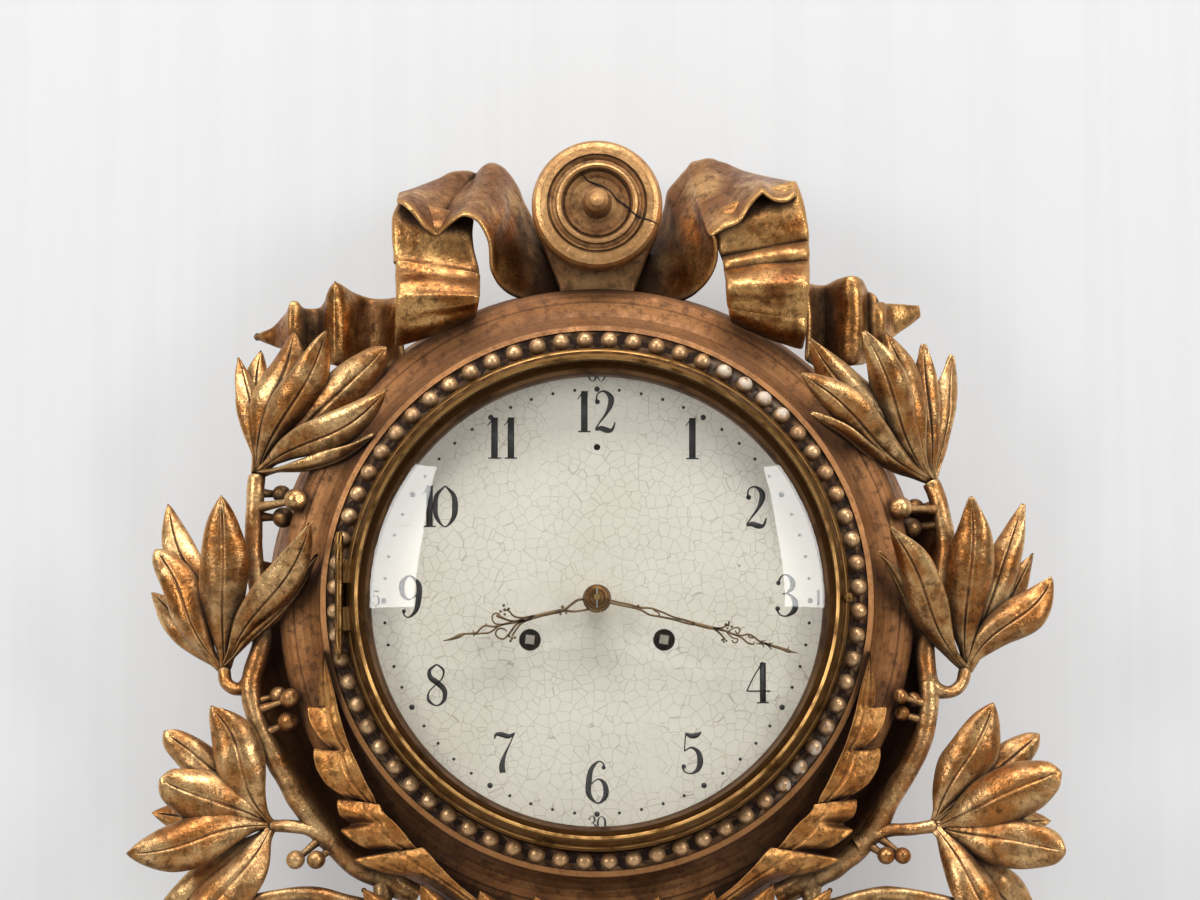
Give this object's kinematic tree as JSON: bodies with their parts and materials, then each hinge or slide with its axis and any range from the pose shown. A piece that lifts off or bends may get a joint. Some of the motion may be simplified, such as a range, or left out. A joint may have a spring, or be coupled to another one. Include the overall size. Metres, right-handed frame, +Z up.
{
  "type": "pendulum wall clock",
  "caption": "Hanging wall clock with a carved gilt case, domed glass door, painted dial, two-train spring movement and short pendulum.",
  "frame": {"origin": "middle of the hanging hole, on the wall plane", "axes": "+X to the right seen from the front, +Y into the wall, +Z up; the dial faces -Y"},
  "size_m": [0.4562, 0.132, 0.6315],
  "materials": {
    "turned_gilt_wood": "worn bronze gilding over red bole on turned wood, matte",
    "carved_gilt_wood": "worn leaf gilding over red bole on carved wood, satin with dark recesses",
    "beaded_gilt_wood": "worn gilding on turned beads, gesso showing on some",
    "bare_pine": "aged bare pine, matte",
    "black_iron": "forged, dark",
    "old_steel": "old polished steel",
    "bezel_brass": "turned brass, tarnished",
    "sight_ring_brass": "dull brown brass",
    "clear_glass": "clear domed glass",
    "painted_dial": "cream paint with fine crackle, black numbers",
    "gilt_hands": "pierced gilt metal, dulled",
    "movement_brass": "machined brass, lightly aged",
    "bell_metal": "turned bell metal",
    "polished_brass": "polished, slightly tarnished"
  },
  "bodies": {
    "clock_case": {"drum_case": "turned_gilt_wood", "pearl_moulding": "beaded_gilt_wood", "back_board": "bare_pine", "pendulum_case": "carved_gilt_wood", "hanger_plate": "black_iron", "case_screws": "old_steel", "crest_knob": "carved_gilt_wood", "ribbon_bow_left": "carved_gilt_wood", "ribbon_bow_right": "carved_gilt_wood", "laurel_stem_left": "carved_gilt_wood", "laurel_stem_right": "carved_gilt_wood", "laurel_spray_left_upper": "carved_gilt_wood", "laurel_spray_left_middle": "carved_gilt_wood", "laurel_spray_left_lower": "carved_gilt_wood", "laurel_spray_right_upper": "carved_gilt_wood", "laurel_spray_right_middle": "carved_gilt_wood", "laurel_spray_right_lower": "carved_gilt_wood", "side_acanthus": "carved_gilt_wood", "culot_acanthus": "carved_gilt_wood", "pendant_bud": "carved_gilt_wood", "case_hinge_leaf": "bezel_brass", "hinge_pin": "old_steel", "dial_plate": "painted_dial", "dial_feet": "movement_brass", "front_plate": "movement_brass", "back_plate": "movement_brass", "plate_pillars": "movement_brass", "winding_clicks": "old_steel", "bell": "bell_metal", "bell_stand": "movement_brass", "back_cock": "movement_brass"},
    "bezel_door": {"bezel": "bezel_brass", "bezel_glass": "clear_glass", "glass_retaining_ring": "sight_ring_brass", "bezel_hinge_leaf": "bezel_brass", "pull_knob": "bezel_brass"},
    "centre_arbor": {"centre_wheel": "movement_brass", "minute_hand": "gilt_hands", "hand_collet": "bezel_brass", "taper_pin": "old_steel"},
    "hour_pipe": {"hour_wheel": "movement_brass", "hour_hand": "gilt_hands"},
    "motion_wheel": {"minute_wheel": "movement_brass"},
    "second_arbor": {"going_second_wheel": "movement_brass"},
    "going_barrel": {"going_barrel": "movement_brass", "going_mainspring": "old_steel"},
    "going_winding_arbor": {"going_arbor": "old_steel"},
    "third_arbor": {"third_wheel": "movement_brass"},
    "escape_arbor": {"escape_wheel": "movement_brass"},
    "anchor": {"anchor": "old_steel"},
    "pendulum": {"pendulum_rod": "old_steel", "pendulum_bob": "polished_brass", "rating_nut": "movement_brass"},
    "strike_barrel": {"strike_barrel": "movement_brass", "strike_mainspring": "old_steel"},
    "strike_winding_arbor": {"strike_arbor": "old_steel"},
    "strike_second_arbor": {"strike_second_wheel": "movement_brass"},
    "pin_wheel": {"pin_wheel": "movement_brass"},
    "fly": {"fly": "movement_brass"},
    "hammer": {"hammer": "old_steel"}
  },
  "joints": [
    {"name": "bezel_swing", "type": "hinge", "parent": "clock_case", "child": "bezel_door", "pos_m": [-0.1244, -0.1105, -0.116], "axis": [0, 0, -1], "range_deg": [0, 95]},
    {"name": "hands_turn", "type": "hinge", "parent": "clock_case", "child": "centre_arbor", "pos_m": [0, -0.1, -0.116], "axis": [0, 1, 0], "continuous": true},
    {"name": "hour_turn", "type": "hinge", "parent": "clock_case", "child": "hour_pipe", "pos_m": [0, -0.1, -0.116], "axis": [0, 1, 0], "continuous": true},
    {"name": "motion_wheel_turn", "type": "hinge", "parent": "clock_case", "child": "motion_wheel", "pos_m": [0, -0.084, -0.1328], "axis": [0, 1, 0], "continuous": true},
    {"name": "second_arbor_turn", "type": "hinge", "parent": "clock_case", "child": "second_arbor", "pos_m": [0.01892, -0.06, -0.10558], "axis": [0, 1, 0], "continuous": true},
    {"name": "going_barrel_turn", "type": "hinge", "parent": "clock_case", "child": "going_barrel", "pos_m": [0.0325, -0.06, -0.135], "axis": [0, 1, 0], "continuous": true},
    {"name": "third_arbor_turn", "type": "hinge", "parent": "clock_case", "child": "third_arbor", "pos_m": [-0.01203, -0.06, -0.10115], "axis": [0, 1, 0], "continuous": true},
    {"name": "escape_arbor_turn", "type": "hinge", "parent": "clock_case", "child": "escape_arbor", "pos_m": [0, -0.06, -0.09035], "axis": [0, 1, 0], "continuous": true},
    {"name": "going_winding", "type": "hinge", "parent": "clock_case", "child": "going_winding_arbor", "pos_m": [0.0325, -0.06, -0.135], "axis": [0, 1, 0], "continuous": true},
    {"name": "strike_winding", "type": "hinge", "parent": "clock_case", "child": "strike_winding_arbor", "pos_m": [-0.0325, -0.06, -0.135], "axis": [0, 1, 0], "continuous": true},
    {"name": "pendulum_swing", "type": "hinge", "parent": "clock_case", "child": "pendulum", "pos_m": [0, -0.024, -0.0705], "axis": [0, 1, 0], "range_deg": [-3.5, 3.5]},
    {"name": "anchor_rock", "type": "hinge", "parent": "clock_case", "child": "anchor", "pos_m": [0, -0.024, -0.0705], "axis": [0, 1, 0], "range_deg": [-3.5, 3.5]},
    {"name": "strike_turn", "type": "hinge", "parent": "clock_case", "child": "pin_wheel", "pos_m": [-0.0311, -0.06, -0.0892], "axis": [0, 1, 0], "continuous": true},
    {"name": "strike_second_turn", "type": "hinge", "parent": "clock_case", "child": "strike_second_arbor", "pos_m": [-0.04089, -0.06, -0.1037], "axis": [0, 1, 0], "continuous": true},
    {"name": "strike_barrel_turn", "type": "hinge", "parent": "clock_case", "child": "strike_barrel", "pos_m": [-0.0325, -0.06, -0.135], "axis": [0, 1, 0], "continuous": true},
    {"name": "fly_turn", "type": "hinge", "parent": "clock_case", "child": "fly", "pos_m": [-0.03771, -0.06, -0.07774], "axis": [0, 1, 0], "continuous": true},
    {"name": "hammer_lift", "type": "hinge", "parent": "clock_case", "child": "hammer", "pos_m": [-0.027, -0.06, -0.066], "axis": [0, -1, 0], "range_deg": [0, 12], "stiffness_Nm_per_rad": 0.01, "springref_deg": -2.86}
  ],
  "couplings": [
    {"joint": "hour_turn", "follows": "hands_turn", "ratio": 0.083333},
    {"joint": "motion_wheel_turn", "follows": "hands_turn", "ratio": -0.33333},
    {"joint": "second_arbor_turn", "follows": "hands_turn", "ratio": -0.2},
    {"joint": "going_barrel_turn", "follows": "hands_turn", "ratio": 0.025},
    {"joint": "third_arbor_turn", "follows": "hands_turn", "ratio": -12},
    {"joint": "escape_arbor_turn", "follows": "hands_turn", "ratio": 120},
    {"joint": "anchor_rock", "follows": "pendulum_swing", "ratio": 1},
    {"joint": "strike_second_turn", "follows": "strike_turn", "ratio": -0.16667},
    {"joint": "strike_barrel_turn", "follows": "strike_turn", "ratio": 0.020833},
    {"joint": "fly_turn", "follows": "strike_turn", "ratio": -8}
  ]
}
